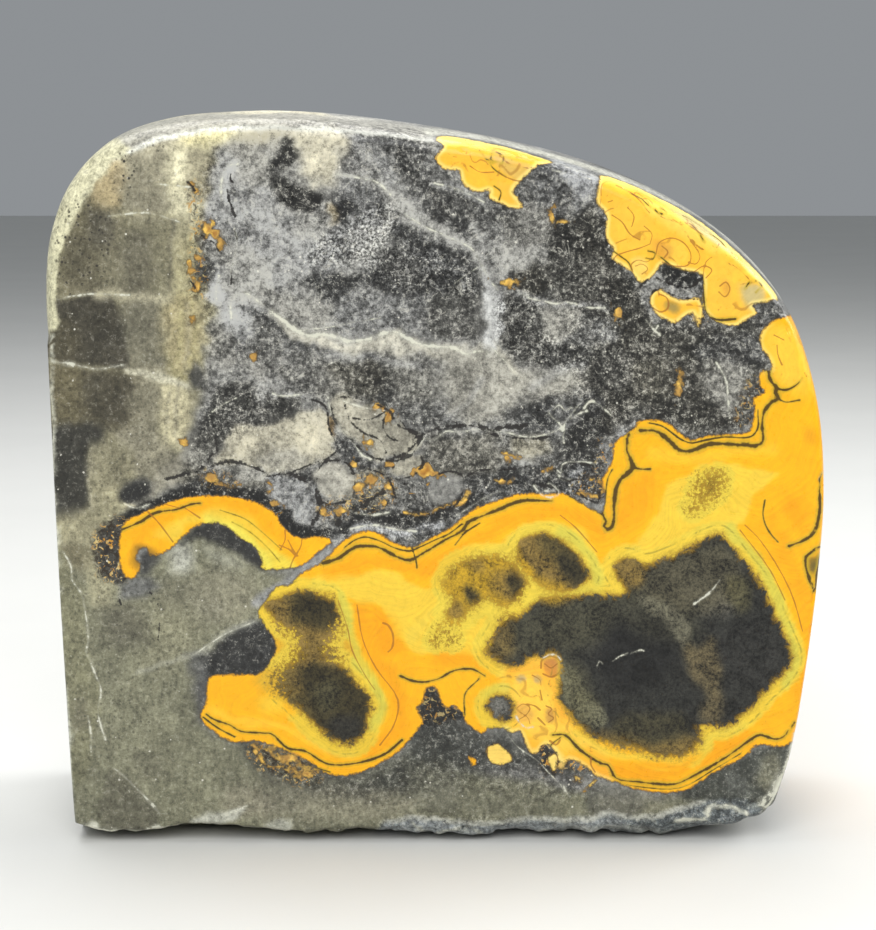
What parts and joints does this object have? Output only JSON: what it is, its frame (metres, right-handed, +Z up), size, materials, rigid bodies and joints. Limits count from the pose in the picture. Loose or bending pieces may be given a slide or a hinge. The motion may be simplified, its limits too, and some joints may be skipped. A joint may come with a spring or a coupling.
{
  "type": "bumblebee jasper freeform",
  "caption": "Standing freeform slab of banded volcanic stone with a polished flat face, a domed top edge and a sawn flat base.",
  "frame": {"origin": "middle of the stone's footprint, on the surface that it stands on", "axes": "+Z up; -Y is the way the polished face looks; +X is to the right of someone looking at the face"},
  "size_m": [0.0944, 0.032, 0.0891],
  "materials": {
    "polished_jasper": "polished"
  },
  "bodies": {
    "root": {"jasper_slab": "polished_jasper"}
  },
  "joints": []
}
